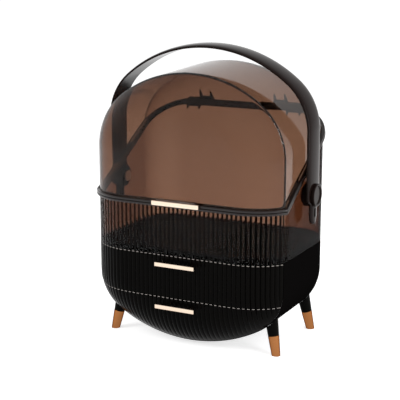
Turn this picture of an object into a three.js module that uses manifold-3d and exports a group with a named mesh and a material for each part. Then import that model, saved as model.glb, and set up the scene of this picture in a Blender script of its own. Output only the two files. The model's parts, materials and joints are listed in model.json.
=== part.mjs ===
// Makeup organizer with a smoke-clear dome lid, a reeded tub, two belly drawers and a carry handle.
// Millimetres. X points right, Y to the back, Z up; z = 0 is the floor under the legs.
import * as THREE from 'three';
import { mergeVertices } from 'three/addons/utils/BufferGeometryUtils.js';
import Module from 'manifold-3d';

const wasm = await Module();
wasm.setup();
const { Manifold, Mesh } = wasm;

// Body outline seen from the front: straight sides, an arch above and a belly below.
const halfWidth = 140;
const halfDepth = 98.5;
const archCorner = 93;
const archRound = 171.5;
const archTopFront = 373.5;
const archTopBack = 379;
const bellyCorner = 68;
const bellyRound = 210;
const bellyBottom = 6;

// Roundings of the front face and of the back edges.
const frontArc = 67.5;
const edgeInset = 57;
const backFillet = 43;
const frontFlat = halfWidth - edgeInset;
const frontY = -halfDepth;
const edgeY = frontY + frontArc - Math.sqrt(frontArc ** 2 - edgeInset ** 2);
const shoulderY = halfDepth - backFillet;

// Walls and clearances.
const clearWall = 3;
const caseWall = 3;
const binWall = 2;
const seat = 0.3;
const slideGap = 1.2;
const hingePlay = 0.15;
const overrun = 20;

// Heights of the seams, from the belly up.
const lowerFrontTop = 72.6;
const frontSeam = 0.5;
const caseTop = 132;
const tubFloorTop = 140;
const tubFloor = 3;
const seamFront = 202;
const seamBack = 312;
const seamFrontPullY = 57;
const seamFrontPullZ = 38;
const seamBackPullY = 36.5;
const seamBackPullZ = 36;

// Reeds on the front: whole reeds from the middle to each side edge.
const reedsPerSide = 23;
const reedDepth = 1.3;
const reedShares = [0, 0.28, 0.72];
const reedHeightShares = [0, 0.88, 0.88];
const reedFade = 14;

// Rims of the tub and of the lid.
const rimOut = 4.2;
const rimHeight = 3.7;
const rimLip = 1.5;
const rimLipWall = 1.6;
const sealWidth = 2.4;
const sealDepth = 1.6;
const sealInset = 1.2;

// Shelf and deck inside the case.
const shelfThick = 3;
const shelfBottom = 71.2;
const deckThick = 3.2;

// Drawers.
const fasciaWall = 3.9;
const fasciaRowShare = 0.8;
const fasciaLastRow = 5;
const upperInset = caseWall + slideGap;
const lowerInset = 13;
const lowerBinBackGap = 18.5;
const lowerBinBack = halfDepth - lowerBinBackGap;
const binHeadroom = 1.3;
const binLift = 0.5;
const runnerLow = 20;
const runnerHigh = 30;
const runnerFrontGap = 9.3;
const runnerBackGap = 9.4;

// Pull bars.
const drawerBarHalf = 29.5;
const drawerBarHeight = 5.6;
const drawerBarThick = 3.4;
const drawerBarStand = 8.6;
const barPostRadius = 2.7;
const barPostX = 21;
const upperBarZ = 121;
const lowerBarZ = 62;
const lidBarHalf = 34.9;
const lidBarHeight = 6.4;
const lidBarThick = 4.6;
const lidBarZ = 204;
const lidTabHalf = 28.5;
const lidTabThick = 1.6;
const screwRadius = 1.2;
const screwPlay = 0.2;
const screwReach = 5;
const screwSeat = 0.7;
const screwHeadRadius = 2.8;
const screwHead = 1.6;

// Hinges: each has a lid leaf on the inner side and a case leaf on the outer side.
const hingeStand = 5.2;
const hingeY = halfDepth + rimOut + hingeStand;
const hingeRise = 1;
const hingeZ = seamBack + hingeRise;
const knuckleRadius = 4.5;
const hingePinRadius = 1.6;
const hingePinHead = 1.2;
const hingePinHeadRadius = 2.7;
const hingeInset = 50.4;
const caseLeafWidth = 21.2;
const lidLeafWidth = 18.8;
const leafGap = 0.6;
const caseLeafGap = 1.3;
const caseLeafOuter = halfWidth - hingeInset;
const caseLeafInner = caseLeafOuter - caseLeafWidth;
const lidLeafOuter = caseLeafInner - leafGap;
const lidLeafInner = lidLeafOuter - lidLeafWidth;
const finThick = 2.2;
const finRise = 19;
const finDrop = 16;
const leafThick = 1.5;
const leafRise = 5;
const leafDrop = 3;

// Carry handle and its pivots.
const pivotY = 3;
const pivotZ = 211.5;
const handleGap = 8.8;
const handleInner = halfWidth + handleGap;
const handleRise = 23.5;
const handleTop = archTopBack + handleRise;
const handleLean = 1.3;
const handleCorner = 80;
const handleRound = 188;
const bandHalf = 20;
const bandThick = 5;
const bandSectionShares = [[-1, 0], [1, 0], [1, 0.36], [0.65, 0.84], [0.25, 1],
  [-0.25, 1], [-0.65, 0.84], [-1, 0.36]];
const tailHalf = 10.5;
const tailBottom = 172;
const tailShoulder = 198;
const bandShoulder = 207;
const tailSlotHalf = 2.6;
const tailSlotBottom = 181;
const tailSlotTop = 194;
const hubRadius = 16;
const pivotPinRadius = 4;
const pivotHeadRadius = 8;
const pivotHead = 2;
const pivotPlay = 0.25;
const knobRadius = 15.5;
const knobThick = 3.8;
const knobDish = 1.6;
const knobRing = 3.4;
const knobEdge = 1.2;
const pinSocket = 1;

// Legs.
const legSideInset = 14.7;
const legFrontInset = 43.8;
const legBackInset = 29.5;
const legTipX = halfWidth - legSideInset;
const legTipFrontY = frontY + legFrontInset;
const legTipBackY = halfDepth - legBackInset;
const legSplayX = 8.4;
const legSplayY = 4.4;
const legBossRadius = 5.5;
const legBossRise = 8.5;
const legTopRadius = 8.6;
const legTipRadius = 5.9;
const sleeveTop = 26.5;
const sleeveWall = 0.9;
const sleeveFloor = 3;
const legScrewRadius = 2;
const legScrewHead = 2;
const legScrewHeadRadius = 4;
const legScrewReach = 14;

// Facets: outside surfaces are finer than what is hidden inside.
const arcSteps = 8;
const frontSteps = 7;
const filletSteps = 5;
const seamSteps = 7;
const insideSteps = 4;
const roundSides = 28;
const smallSides = 12;

const smokeClear = new THREE.MeshStandardMaterial({
  color: 0x6b4c3f, roughness: 0.08, metalness: 0, transparent: true, opacity: 0.5 });
const glossBlack = new THREE.MeshStandardMaterial({ color: 0x0d0c0c, roughness: 0.14, metalness: 0 });
const smokeBlack = new THREE.MeshStandardMaterial({ color: 0x191413, roughness: 0.16, metalness: 0 });
const roseGold = new THREE.MeshStandardMaterial({ color: 0xe0b394, roughness: 0.2, metalness: 1 });
const sealRubber = new THREE.MeshStandardMaterial({ color: 0x2b2725, roughness: 0.7, metalness: 0 });
const steel = new THREE.MeshStandardMaterial({ color: 0xb9babd, roughness: 0.3, metalness: 1 });

// Solids in and out of the boolean library; every face ends up pointing outward.
const samePoint = 1e-4;
function solid(geometry) {
  const plain = geometry.clone();
  plain.deleteAttribute('normal');
  plain.deleteAttribute('uv');
  const merged = mergeVertices(plain, samePoint);
  const point = (i) => new THREE.Vector3().fromBufferAttribute(merged.attributes.position, i);
  const faces = [];
  let volume = 0;
  for (let i = 0; i < merged.index.count; i += 3) {
    const [a, b, c] = merged.index.array.slice(i, i + 3);
    if (a === b || b === c || c === a) continue;
    faces.push([a, b, c]);
    volume += point(a).dot(point(b).cross(point(c)));
  }
  return Manifold.ofMesh(new Mesh({
    numProp: 3,
    vertProperties: new Float32Array(merged.attributes.position.array),
    triVerts: Uint32Array.from(faces.flatMap(([a, b, c]) => (volume > 0 ? [a, b, c] : [a, c, b]))),
  }));
}

function geometryOf(manifold) {
  const mesh = manifold.getMesh();
  const geometry = new THREE.BufferGeometry();
  geometry.setAttribute('position', new THREE.BufferAttribute(Float32Array.from(mesh.vertProperties), 3));
  geometry.setIndex(new THREE.BufferAttribute(Uint32Array.from(mesh.triVerts), 1));
  geometry.computeVertexNormals();
  return geometry;
}

// The triangles of a flat end face, wound along the ring (side 1) or against it (side -1).
function capFaces(ring, axes, side) {
  const points = ring.map((p) => new THREE.Vector2(p[axes[0]], p[axes[1]]));
  const wanted = Math.sign(THREE.ShapeUtils.area(points)) * side;
  return THREE.ShapeUtils.triangulateShape(points, []).map(([a, b, c]) => {
    const area = THREE.ShapeUtils.area([points[a], points[b], points[c]]);
    return Math.sign(area) === wanted ? [a, b, c] : [a, c, b];
  });
}

// A closed skin over rings of equally many points; axes names the plane of the two end faces.
function loft(rings, axes) {
  const count = rings[0].length;
  const points = rings.flat();
  const lastStart = (rings.length - 1) * count;
  const faces = capFaces(rings[0], axes, -1);
  for (const face of capFaces(rings[rings.length - 1], axes, 1)) {
    faces.push(face.map((i) => i + lastStart));
  }
  for (let start = 0; start < lastStart; start += count) {
    for (let i = 0; i < count; i += 1) {
      const a = start + i;
      const b = start + ((i + 1) % count);
      faces.push([a, b, b + count], [a, b + count, a + count]);
    }
  }
  const geometry = new THREE.BufferGeometry();
  geometry.setAttribute('position', new THREE.Float32BufferAttribute(points.flatMap((p) => [...p]), 3));
  geometry.setIndex(faces.flat());
  return solid(geometry);
}

const at = (x, y, z) => new THREE.Vector3(x, y, z);
const axisX = at(1, 0, 0);
const axisY = at(0, 1, 0);
const axisZ = at(0, 0, 1);

// Prisms: an outline pulled along one axis, from low to high.
function prism(points, low, high, basis, shift) {
  const shape = new THREE.Shape(points.map(([a, b]) => new THREE.Vector2(a, b)));
  const geometry = new THREE.ExtrudeGeometry(shape, { depth: high - low, bevelEnabled: false });
  geometry.applyMatrix4(new THREE.Matrix4().makeBasis(...basis));
  geometry.translate(...shift);
  return solid(geometry);
}
const prismX = (points, low, high) => prism(points, low, high, [axisY, axisZ, axisX], [low, 0, 0]);
const prismY = (points, low, high) => (
  prism(points, low, high, [axisX, axisZ, axisY.clone().negate()], [0, high, 0]));
const prismZ = (points, low, high) => prism(points, low, high, [axisX, axisY, axisZ], [0, 0, low]);

function box(x0, x1, y0, y1, z0, z1) {
  const geometry = new THREE.BoxGeometry(x1 - x0, y1 - y0, z1 - z0);
  geometry.translate((x0 + x1) / 2, (y0 + y1) / 2, (z0 + z1) / 2);
  return solid(geometry);
}

// A turned solid about Z: profile points are [radius, height].
function turned(profile, facets = roundSides) {
  return solid(new THREE.LatheGeometry(profile.map(([r, z]) => new THREE.Vector2(r, z)), facets)
    .rotateX(Math.PI / 2));
}
const rod = (radius, low, high, facets = roundSides) => (
  turned([[0, low], [radius, low], [radius, high], [0, high]], facets));

// Turns a solid about Z into one about X (pointing right) and moves it.
const alongX = (body, x, y, z) => body.rotate([0, 90, 0]).translate([x, y, z]);
const alongY = (body, x, y, z) => body.rotate([-90, 0, 0]).translate([x, y, z]);
const mirrored = (body, side) => (side < 0 ? body.mirror([1, 0, 0]) : body);

// Half of an outline's end, from its side to its middle: a corner arc, then a wide round one.
function endArcs({ half, corner, round, endZ, up }, inset, steps = arcSteps) {
  const cornerX = half - corner;
  const roundZ = endZ - up * round;
  const cornerZ = roundZ + up * Math.sqrt((round - corner) ** 2 - cornerX ** 2);
  const turn = Math.atan2(Math.abs(cornerZ - roundZ), cornerX);
  const points = [];
  for (let i = 0; i <= steps; i += 1) {
    const angle = (turn * i) / steps;
    const radius = corner - inset;
    points.push([cornerX + radius * Math.cos(angle), cornerZ + up * radius * Math.sin(angle)]);
  }
  for (let i = 1; i <= steps; i += 1) {
    const angle = turn + ((Math.PI / 2 - turn) * i) / steps;
    const radius = round - inset;
    points.push([radius * Math.cos(angle), roundZ + up * radius * Math.sin(angle)]);
  }
  return { points, cornerX, cornerZ, roundZ, turn };
}

// The whole ring from its right half, closed by a straight line at closingZ.
function mirroredLoop(half, closingZ) {
  const left = half.slice(0, -1).map(([x, z]) => [-x, z]).reverse();
  const side = half[0][0];
  return [[side, closingZ], ...half, ...left, [-side, closingZ]];
}

const bellyEnd = { half: halfWidth, corner: bellyCorner, round: bellyRound, endZ: bellyBottom, up: -1 };
const belly = endArcs(bellyEnd, 0);
const bellyLoop = (inset, top, steps) => mirroredLoop(endArcs(bellyEnd, inset, steps).points, top);
function archLoop(y, inset, low) {
  const along = (y - edgeY) / (shoulderY - edgeY);
  const endZ = archTopFront + (archTopBack - archTopFront) * along;
  const arch = { half: halfWidth, corner: archCorner, round: archRound, endZ, up: 1 };
  return mirroredLoop(endArcs(arch, inset).points, low);
}
function bellyZ(x) {
  const side = Math.min(Math.abs(x), halfWidth);
  const joint = belly.cornerX + bellyCorner * Math.cos(belly.turn);
  if (side < joint) return belly.roundZ - Math.sqrt(bellyRound ** 2 - side ** 2);
  return belly.cornerZ - Math.sqrt(bellyCorner ** 2 - (side - belly.cornerX) ** 2);
}

// Places along Y with the inset of the outline there: over the front face's round, then the back's.
function frontStations(skin) {
  const arc = frontArc - skin;
  const turn = Math.asin((edgeInset - skin) / arc);
  return Array.from({ length: frontSteps + 1 }, (_, i) => {
    const angle = (turn * i) / frontSteps;
    return { y: frontY + skin + arc * (1 - Math.cos(angle)), inset: edgeInset - arc * Math.sin(angle) };
  });
}
function backStations(skin, steps = filletSteps) {
  const arc = backFillet - skin;
  return Array.from({ length: steps + 1 }, (_, i) => {
    const angle = (Math.PI / 2 * i) / steps;
    return { y: shoulderY + arc * Math.sin(angle), inset: backFillet - arc * Math.cos(angle) };
  });
}
function loftAlongY(stations, loopAt) {
  return loft(stations.map(({ y, inset }) => loopAt(y, inset).map(([x, z]) => at(x, y, z))), 'xz');
}

// Bodies that follow the outside, a skin's thickness in: the dome, its straight tail and the belly.
const domeLow = seamFront - halfWidth / 2;
const dome = (skin) => loftAlongY([...frontStations(skin), ...backStations(skin)],
  (y, inset) => archLoop(y, inset, domeLow));
const domeTail = (skin) => loftAlongY([{ y: frontY - overrun, inset: skin }, ...backStations(skin)],
  (y, inset) => archLoop(y, inset, 0));
const bellyTail = (skin, from, steps) => loftAlongY([{ y: from, inset: skin }, ...backStations(skin, steps)],
  (y, inset) => bellyLoop(inset, caseTop + overrun, steps));
const bellyFront = (skin, to, steps) => loftAlongY([...frontStations(skin), { y: to, inset: skin }],
  (y, inset) => bellyLoop(inset, caseTop + overrun, steps));
const bellyAll = (skin, steps) => loftAlongY([...frontStations(skin), ...backStations(skin, steps)],
  (y, inset) => bellyLoop(inset, caseTop + overrun, steps));

// How far a place on the front lies inside the belly's outline, and the front face's Y there.
function insideBelly(x, z) {
  const side = Math.abs(x);
  if (z >= belly.cornerZ) return halfWidth - side;
  const fromRound = Math.atan2(belly.roundZ - z, side);
  if (fromRound > belly.turn) return bellyRound - Math.hypot(side, z - belly.roundZ);
  return bellyCorner - Math.hypot(side - belly.cornerX, z - belly.cornerZ);
}
function frontFace(x, z) {
  const reach = THREE.MathUtils.clamp(edgeInset - insideBelly(x, z), 0, edgeInset);
  return frontY + frontArc - Math.sqrt(frontArc ** 2 - reach ** 2);
}

// Reed points along the front, measured over its surface, with their depth below the crests.
const sideArc = frontArc * Math.asin(edgeInset / frontArc);
const reedPitch = (frontFlat + sideArc) / reedsPerSide;
const reedPoints = [];
for (let reed = -reedsPerSide; reed < reedsPerSide; reed += 1) {
  reedShares.forEach((share, i) => {
    reedPoints.push({ along: (reed + share) * reedPitch, depth: reedDepth * (1 - reedHeightShares[i]) });
  });
}
reedPoints.push({ along: reedsPerSide * reedPitch, depth: reedDepth });

function planPoint({ along, depth }) {
  const past = Math.abs(along) - frontFlat;
  if (past <= 0) return [along, frontY + depth];
  const angle = past / frontArc;
  const arc = frontArc - depth;
  return [Math.sign(along) * (frontFlat + arc * Math.sin(angle)), frontY + frontArc - arc * Math.cos(angle)];
}

// Plan outlines: one back for all, with a smooth or a reeded front.
function planBack(inset) {
  const arc = backFillet - inset;
  const right = Array.from({ length: filletSteps + 1 }, (_, i) => {
    const angle = (Math.PI / 2 * i) / filletSteps;
    return [halfWidth - backFillet + arc * Math.cos(angle), shoulderY + arc * Math.sin(angle)];
  });
  return [...right, ...right.map(([x, y]) => [-x, y]).reverse()];
}
function smoothPlan(inset) {
  const arc = frontArc - inset;
  const turn = Math.asin((edgeInset - inset) / arc);
  const right = Array.from({ length: frontSteps + 1 }, (_, i) => {
    const angle = (turn * i) / frontSteps;
    return [frontFlat + arc * Math.sin(angle), frontY + frontArc - arc * Math.cos(angle)];
  });
  return [...right.map(([x, y]) => [-x, y]).reverse(), ...right, ...planBack(inset)];
}
const reededPlan = () => [...reedPoints.map(planPoint), ...planBack(0)];
const columnTop = archTopBack + overrun;
const column = (skin, low) => prismZ(smoothPlan(skin), low, columnTop).intersect(domeTail(skin));

// The seam between tub and lid, seen from the side: level in front, then a climb that steepens to the back.
const seamCurve = new THREE.CubicBezierCurve(
  new THREE.Vector2(edgeY, seamFront),
  new THREE.Vector2(edgeY + seamFrontPullY, seamFront + seamFrontPullZ),
  new THREE.Vector2(halfDepth - seamBackPullY, seamBack - seamBackPullZ),
  new THREE.Vector2(halfDepth, seamBack),
);
function seamLine(rise) {
  const climb = seamCurve.getPoints(seamSteps).map(({ x, y }) => [x, y + rise]);
  return [[frontY - halfDepth, seamFront + rise], ...climb, [halfDepth * 2, seamBack + rise]];
}
const wide = halfWidth + overrun;
const layer = (low, high) => prismX([...seamLine(low), ...seamLine(high).reverse()], -wide, wide);
const aboveSeam = (rise) => prismX([...seamLine(rise), [halfDepth * 2, columnTop],
  [frontY - halfDepth, columnTop]], -wide, wide);
const belowSeam = (rise) => prismX([[frontY - halfDepth, 0], [halfDepth * 2, 0],
  ...seamLine(rise).reverse()], -wide, wide);

function node(name, body, material) {
  const mesh = new THREE.Mesh(geometryOf(body), material);
  mesh.name = name;
  return mesh;
}
function group(...children) {
  const result = new THREE.Group();
  result.add(...children.flat());
  return result;
}
const sides = [['left', -1], ['right', 1]];

// Legs: each has its own axis, from the tip on the floor to where it meets the belly.
const legPlaces = [
  ['front_left', -1, legTipFrontY], ['front_right', 1, legTipFrontY],
  ['back_left', -1, legTipBackY], ['back_right', 1, legTipBackY],
].map(([name, side, tipY]) => {
  const tip = at(side * legTipX, tipY, 0);
  const topX = legTipX - legSplayX;
  const top = at(side * topX, tipY - Math.sign(tipY) * legSplayY, bellyZ(topX));
  const axis = top.clone().sub(tip);
  const length = axis.length();
  const turn = new THREE.Quaternion().setFromUnitVectors(axisZ, axis.normalize());
  const matrix = new THREE.Matrix4().compose(tip, turn, at(1, 1, 1));
  return { name, length, stand: (body) => body.transform(matrix.elements) };
});
const legRadius = (z, length) => legTipRadius + ((legTopRadius - legTipRadius) * z) / length;
const slab = (low, high) => box(-wide, wide, -wide, wide, low, high);

function legCore({ length, stand }) {
  const inner = (z) => legRadius(z, length) - sleeveWall - seat;
  const foot = sleeveFloor + seat;
  const high = length + legTopRadius * 2;
  const body = turned([[0, foot], [inner(foot), foot], [inner(sleeveTop), sleeveTop + seat],
    [legRadius(sleeveTop, length), sleeveTop + seat], [legRadius(high, length), high], [0, high]]);
  const bore = rod(legScrewRadius + seat, length - legScrewReach - seat, high + overrun, smallSides);
  return stand(body.subtract(bore)).subtract(bellyTail(-seat, edgeY - overrun));
}
function legSleeve({ length, stand }) {
  const outer = (z) => legRadius(z, length);
  const inner = (z) => outer(z) - sleeveWall;
  const low = -legTipRadius;
  return stand(turned([[0, low], [outer(low), low], [outer(sleeveTop), sleeveTop],
    [inner(sleeveTop), sleeveTop], [inner(sleeveFloor), sleeveFloor], [0, sleeveFloor]]))
    .intersect(slab(0, wide));
}
function legScrew({ length, stand }) {
  const headLow = length + legBossRise + seat;
  return stand(turned([[0, length - legScrewReach], [legScrewRadius, length - legScrewReach],
    [legScrewRadius, headLow], [legScrewHeadRadius, headLow],
    [legScrewHeadRadius, headLow + legScrewHead], [0, headLow + legScrewHead]], smallSides));
}

// Case: the belly shell with its leg bosses, the shelf between the drawers, the deck and the runners.
function caseShell() {
  const outside = bellyTail(0, edgeY);
  let shell = outside.subtract(bellyTail(caseWall, edgeY - overrun, insideSteps));
  for (const { length, stand } of legPlaces) {
    const boss = rod(legBossRadius, 0, length + legBossRise, smallSides);
    shell = shell.add(stand(boss).intersect(outside));
  }
  for (const { length, stand } of legPlaces) {
    const hole = rod(legScrewRadius + seat, 0, length + legBossRise + overrun, smallSides);
    shell = shell.subtract(stand(hole));
  }
  return shell.intersect(slab(0, caseTop));
}
const caseFill = (low, high) => bellyTail(caseWall + seat, edgeY + seat, insideSteps)
  .intersect(slab(low, high));
function caseDeck() {
  const bossTop = tubFloorTop - tubFloor - seat;
  const boss = prismZ(smoothPlan(clearWall + seat), caseTop, bossTop);
  return caseFill(caseTop - deckThick, caseTop).add(boss);
}
function lowerRunner(side) {
  const from = edgeY + runnerFrontGap;
  const gap = bellyTail(caseWall + seat, from, insideSteps)
    .subtract(bellyTail(lowerInset - seat, from - overrun, insideSteps));
  const low = side < 0 ? -wide : 0;
  return gap.intersect(box(low, low + wide, from, shoulderY - runnerBackGap, runnerLow, runnerHigh));
}
const caseNodes = () => [
  node('case_shell', caseShell(), glossBlack),
  node('drawer_shelf', caseFill(shelfBottom, shelfBottom + shelfThick), glossBlack),
  node('case_deck', caseDeck(), glossBlack),
  ...sides.map(([name, side]) => node(`lower_drawer_runner_${name}`, lowerRunner(side), glossBlack)),
  ...legPlaces.flatMap((leg) => [
    node(`leg_${leg.name}`, legCore(leg), smokeBlack),
    node(`leg_sleeve_${leg.name}`, legSleeve(leg), roseGold),
    node(`leg_screw_${leg.name}`, legScrew(leg), steel),
  ]),
];

// Tub: the clear reeded bin with a hole at each pivot, its rim and the dust seal in the rim's groove.
function tubBody() {
  const bottom = caseTop + seat;
  const outside = prismZ(reededPlan(), bottom, columnTop).intersect(domeTail(0));
  const skirt = prismZ(smoothPlan(clearWall), 0, tubFloorTop - tubFloor);
  const hole = alongX(rod(pivotPinRadius + pivotPlay, -wide, wide), 0, pivotY, pivotZ);
  return outside.intersect(belowSeam(-rimHeight - seat)).subtract(column(clearWall, tubFloorTop))
    .subtract(skirt).subtract(hole);
}
function rim(low, high, lipLow, lipHigh) {
  const lipOuter = clearWall + seat;
  const inside = column(lipOuter + rimLipWall, domeLow);
  const bead = column(-rimOut, domeLow).intersect(layer(low, high));
  const lip = column(lipOuter, domeLow).intersect(layer(lipLow, lipHigh));
  return bead.add(lip).subtract(inside);
}
const sealRing = (extra, low, high) => column(sealInset - extra, domeLow)
  .subtract(column(sealInset + sealWidth + extra, domeLow - overrun)).intersect(layer(low, high));
const tubNodes = () => [
  node('vanity_tub', tubBody(), smokeClear),
  node('tub_rim', rim(-rimHeight, -seat / 2, -rimHeight - rimLip, -seat / 2)
    .subtract(sealRing(seat, -sealDepth - seat, seat)), glossBlack),
  node('dust_seal', sealRing(0, -sealDepth, -seat / 2), sealRubber),
];

// Lid: the clear dome, its rim, and the pull bar with the thumb tab over it.
function lidNodes() {
  const shell = dome(0).subtract(dome(clearWall)).intersect(aboveSeam(rimHeight + seat));
  const barBack = frontY - rimOut - seat;
  const barTop = lidBarZ + lidBarHeight / 2;
  const tabLow = Math.max(barTop, seamFront + rimHeight + seat) + seat;
  return [
    node('lid_shell', shell, smokeClear),
    node('lid_rim', rim(seat / 2, rimHeight, seat / 2, rimHeight + rimLip), glossBlack),
    node('lid_pull_bar', box(-lidBarHalf, lidBarHalf, barBack - lidBarThick, barBack,
      lidBarZ - lidBarHeight / 2, barTop), roseGold),
    node('lid_thumb_tab', box(-lidTabHalf, lidTabHalf, barBack - lidBarThick / 2, frontY - seat,
      tabLow, tabLow + lidTabThick), smokeClear),
  ];
}

// Hinges at the back: leaves with two gusset fins each, and a headed pin through both knuckles.
function hingeLeaf(inner, outer, fin, plateLow, plateHigh, wall) {
  const deep = halfDepth - clearWall;
  const fins = [inner, outer - finThick].map((x) => prismX(fin, x, x + finThick));
  const knuckle = alongX(rod(knuckleRadius, inner, outer, smallSides * 2), 0, hingeY, hingeZ);
  const plate = box(inner, outer, deep, halfDepth + leafThick, plateLow, plateHigh);
  const bore = alongX(rod(hingePinRadius + hingePlay, inner - overrun, outer + overrun, smallSides),
    0, hingeY, hingeZ);
  return plate.add(knuckle).add(fins[0]).add(fins[1]).subtract(wall).subtract(bore);
}
function lidLeaf() {
  const deep = halfDepth - clearWall;
  const low = seamBack + rimHeight + seat;
  const clearOfRim = halfDepth + rimOut + seat;
  const fin = [[deep, low], [clearOfRim, low], [hingeY, hingeZ],
    [hingeY + knuckleRadius / 2, hingeZ + knuckleRadius / 2], [deep, hingeZ + finRise]];
  return hingeLeaf(lidLeafInner, lidLeafOuter, fin, low, low + leafRise, dome(-seat));
}
function caseLeaf() {
  const deep = halfDepth - clearWall;
  const high = seamBack - rimHeight - caseLeafGap;
  const clearOfRim = halfDepth + rimOut + seat;
  const fin = [[deep, hingeZ - finDrop], [hingeY + knuckleRadius / 2, hingeZ - knuckleRadius / 2],
    [hingeY, hingeZ], [clearOfRim, hingeZ - knuckleRadius / 2], [clearOfRim, high], [deep, high]];
  return hingeLeaf(caseLeafInner, caseLeafOuter, fin, high - leafDrop, high, column(-seat, 0));
}
function hingePin() {
  const low = lidLeafInner - seat;
  const high = caseLeafOuter + seat;
  return alongX(turned([[0, low - hingePinHead], [hingePinHeadRadius, low - hingePinHead],
    [hingePinHeadRadius, low], [hingePinRadius, low], [hingePinRadius, high], [hingePinHeadRadius, high],
    [hingePinHeadRadius, high + hingePinHead], [0, high + hingePinHead]], smallSides), 0, hingeY, hingeZ);
}
const hingeNodes = (kind, body, material) => sides.map(([name, side]) => (
  node(`hinge_${kind}_${name}`, mirrored(body, side), material)));

// Drawers: a smooth bin, a reeded front over it, and a pull bar held by two screws from inside.
const upperFrontBottom = lowerFrontTop + frontSeam;
const upperFrontTop = caseTop - frontSeam;
const upperBinLow = shelfBottom + shelfThick + binLift;
const upperBinHigh = caseTop - deckThick - binHeadroom;
const lowerBinHigh = shelfBottom - binHeadroom;
const openTop = caseTop + overrun;

function fascia(low, high) {
  const back = edgeY - frontSeam;
  const heights = [low, high];
  for (let z = belly.cornerZ; z > bellyBottom; z = bellyBottom + (z - bellyBottom) * fasciaRowShare) {
    if (z > low && z < high) heights.push(z);
    if (z - bellyBottom < fasciaLastRow) break;
  }
  heights.sort((a, b) => a - b);
  const rings = heights.map((z) => {
    const front = reedPoints.map((reed) => {
      const [x, planY] = planPoint(reed);
      const sink = planY - frontFace(x, caseTop);
      const fade = THREE.MathUtils.clamp((z - bellyZ(x)) / reedFade, 0, 1);
      return at(x, Math.min(frontFace(x, z) + sink * fade, back), z);
    });
    return [...front, at(wide, back, z), at(wide, back + overrun, z), at(-wide, back + overrun, z),
      at(-wide, back, z)];
  });
  const outline = prismY(bellyLoop(0, openTop), frontY - overrun, back);
  return loft(rings, 'xy').intersect(outline).subtract(bellyFront(fasciaWall, edgeY + overrun));
}
function bin(outer, inner, low, floor, high) {
  return outer.intersect(slab(low, high)).subtract(inner.intersect(slab(floor, high + overrun)));
}
const upperBin = () => bin(bellyAll(upperInset, insideSteps), bellyAll(upperInset + binWall, insideSteps),
  upperBinLow, upperBinLow + binWall, upperBinHigh);
function lowerBin() {
  const trough = (wall) => bellyFront(upperInset + wall, halfDepth, insideSteps)
    .intersect(prismY(bellyLoop(lowerInset + wall, openTop, insideSteps), frontY, lowerBinBack - wall));
  return bin(trough(0), trough(binWall), 0, 0, lowerBinHigh);
}
const screwTip = frontY - screwReach;
function pullBar(z) {
  const back = frontY - drawerBarStand;
  const front = back - drawerBarThick;
  let bar = box(-drawerBarHalf, drawerBarHalf, front, back, z - drawerBarHeight / 2, z + drawerBarHeight / 2);
  const post = rod(barPostRadius, back - drawerBarThick / 2, frontY - seat / 2, smallSides);
  const bore = rod(screwRadius + screwPlay, screwTip - seat, frontY, smallSides);
  for (const x of [-barPostX, barPostX]) {
    bar = bar.add(alongY(post, x, 0, z)).subtract(alongY(bore, x, 0, z));
  }
  return bar;
}
function barScrew(x, z) {
  const headLow = frontY + upperInset + binWall + screwSeat;
  return alongY(turned([[0, screwTip], [screwRadius, screwTip], [screwRadius, headLow],
    [screwHeadRadius, headLow], [screwHeadRadius, headLow + screwHead], [0, headLow + screwHead]],
  smallSides), x, 0, z);
}
function drawerNodes(name, front, bin, z) {
  const hole = rod(screwRadius + screwPlay, frontY - overrun, frontY + overrun, smallSides);
  const drilled = (body) => sides.reduce((left, [, side]) => (
    left.subtract(alongY(hole, side * barPostX, 0, z))), body);
  return [
    node(`${name}_front`, drilled(front), smokeBlack),
    node(`${name}_bin`, drilled(bin), glossBlack),
    node(`${name}_bar`, pullBar(z), roseGold),
    ...sides.map(([end, side]) => node(`${name}_screw_${end}`, barScrew(side * barPostX, z), steel)),
  ];
}

// Carry handle: a crowned band bent over the lid, and at each side a hub, a headed pin and a knob.
const handleEnd = { half: handleInner, corner: handleCorner, round: handleRound, endZ: handleTop, up: 1 };
const pivotHole = () => alongX(rod(pivotPinRadius + pivotPlay, -wide, wide), 0, pivotY, pivotZ);
function handleBand() {
  const paths = bandSectionShares.map(([across, out]) => ({
    y: pivotY + across * bandHalf,
    path: mirroredLoop(endArcs(handleEnd, -out * bandThick).points, tailBottom),
  }));
  const rings = paths[0].path.map((_, i) => paths.map(({ y, path }) => at(path[i][0], y, path[i][1])));
  const edge = bandHalf + overrun;
  const high = handleTop + overrun;
  const tailEnd = Array.from({ length: arcSteps + 1 }, (_, i) => {
    const angle = (Math.PI * i) / arcSteps;
    return [-tailHalf * Math.cos(angle), tailBottom + tailHalf * (1 - Math.sin(angle))];
  });
  const profile = prismX([...tailEnd, [tailHalf, tailShoulder], [bandHalf, bandShoulder],
    [edge, bandShoulder], [edge, high], [-edge, high], [-edge, bandShoulder], [-bandHalf, bandShoulder],
    [-tailHalf, tailShoulder]].map(([y, z]) => [pivotY + y, z]), -wide, wide);
  const slot = box(-wide, wide, pivotY - tailSlotHalf, pivotY + tailSlotHalf, tailSlotBottom, tailSlotTop);
  const upright = loft(rings, 'xy').intersect(profile).subtract(slot);
  return upright.translate([0, -pivotY, -pivotZ]).rotate([handleLean, 0, 0])
    .translate([0, pivotY, pivotZ]).subtract(pivotHole());
}
const pivotNode = (kind, side, name, body, material) => (
  node(`pivot_${kind}_${name}`, mirrored(alongX(body, 0, pivotY, pivotZ), side), material));
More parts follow.
